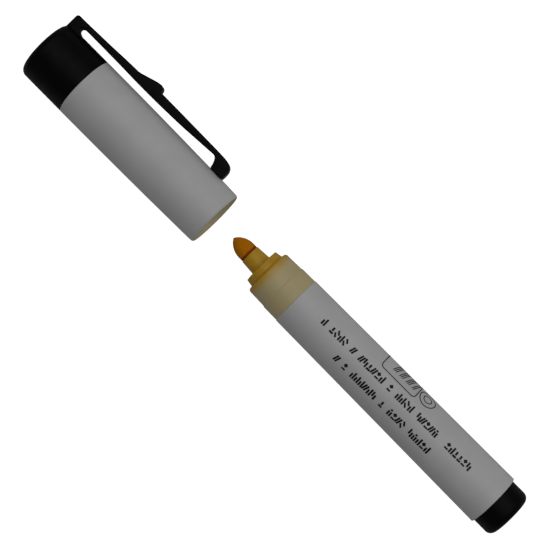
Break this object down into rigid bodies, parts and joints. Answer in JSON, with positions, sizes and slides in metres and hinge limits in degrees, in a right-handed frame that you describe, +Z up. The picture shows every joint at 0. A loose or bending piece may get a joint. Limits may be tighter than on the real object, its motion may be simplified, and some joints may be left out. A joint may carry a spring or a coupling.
{
  "type": "counterfeit detector pen",
  "caption": "Fibre-tip detecting pen with a pull-off cap whose end is a small twist-on ultraviolet light with a sprung pocket clip.",
  "frame": {"origin": "centre of the tail plug's flat end face, on the pen's axis", "axes": "+X from the tail towards the nib and the cap's lit end, -Y towards the clip, +Z up as the pen lies on a table"},
  "size_m": [0.1654, 0.0226, 0.017],
  "materials": {
    "white_body": "satin moulded polypropylene",
    "black_body": "semi-gloss moulded ABS",
    "cream_collar": "satin moulded polypropylene",
    "cream_liner": "natural polyethylene",
    "amber_holder": "ink-stained translucent plastic",
    "nib_fibre": "pressed fibre, wet with ink",
    "reservoir_fibre": "bundled polyester fibre",
    "clear_film": "clear film",
    "grey_holder": "moulded plastic",
    "spring_steel": "drawn wire",
    "brass_contact": "stamped strip",
    "cell_steel": "nickel-plated can",
    "led_epoxy": "clear epoxy dome"
  },
  "bodies": {
    "pen": {"barrel": "white_body", "front_section": "cream_collar", "nib_holder": "amber_holder", "nib": "nib_fibre", "ink_reservoir": "reservoir_fibre", "reservoir_wrap": "clear_film", "tail_plug": "black_body"},
    "cap": {"cap_sleeve": "white_body", "inner_cap": "cream_liner", "battery_holder": "grey_holder", "contact_spring": "spring_steel", "contact_strip": "brass_contact", "button_cell_1": "cell_steel", "button_cell_2": "cell_steel", "button_cell_3": "cell_steel"},
    "light_head": {"clip_housing": "black_body", "led_holder": "grey_holder", "uv_led": "led_epoxy", "led_leads": "spring_steel", "switch_ring": "brass_contact"},
    "clip": {"clip": "black_body"}
  },
  "joints": [
    {"name": "cap_pull", "type": "slide", "parent": "pen", "child": "cap", "axis": [1, 0, 0], "range_m": [-0.0286, 0]},
    {"name": "light_twist", "type": "hinge", "parent": "cap", "child": "light_head", "pos_m": [0.1556, 0, 0], "axis": [-1, 0, 0], "range_deg": [0, 60]},
    {"name": "clip_flex", "type": "hinge", "parent": "light_head", "child": "clip", "pos_m": [0.15995, -0.0111, 0], "axis": [0, 0, 1], "range_deg": [0, 4], "stiffness_Nm_per_rad": 0.4}
  ]
}
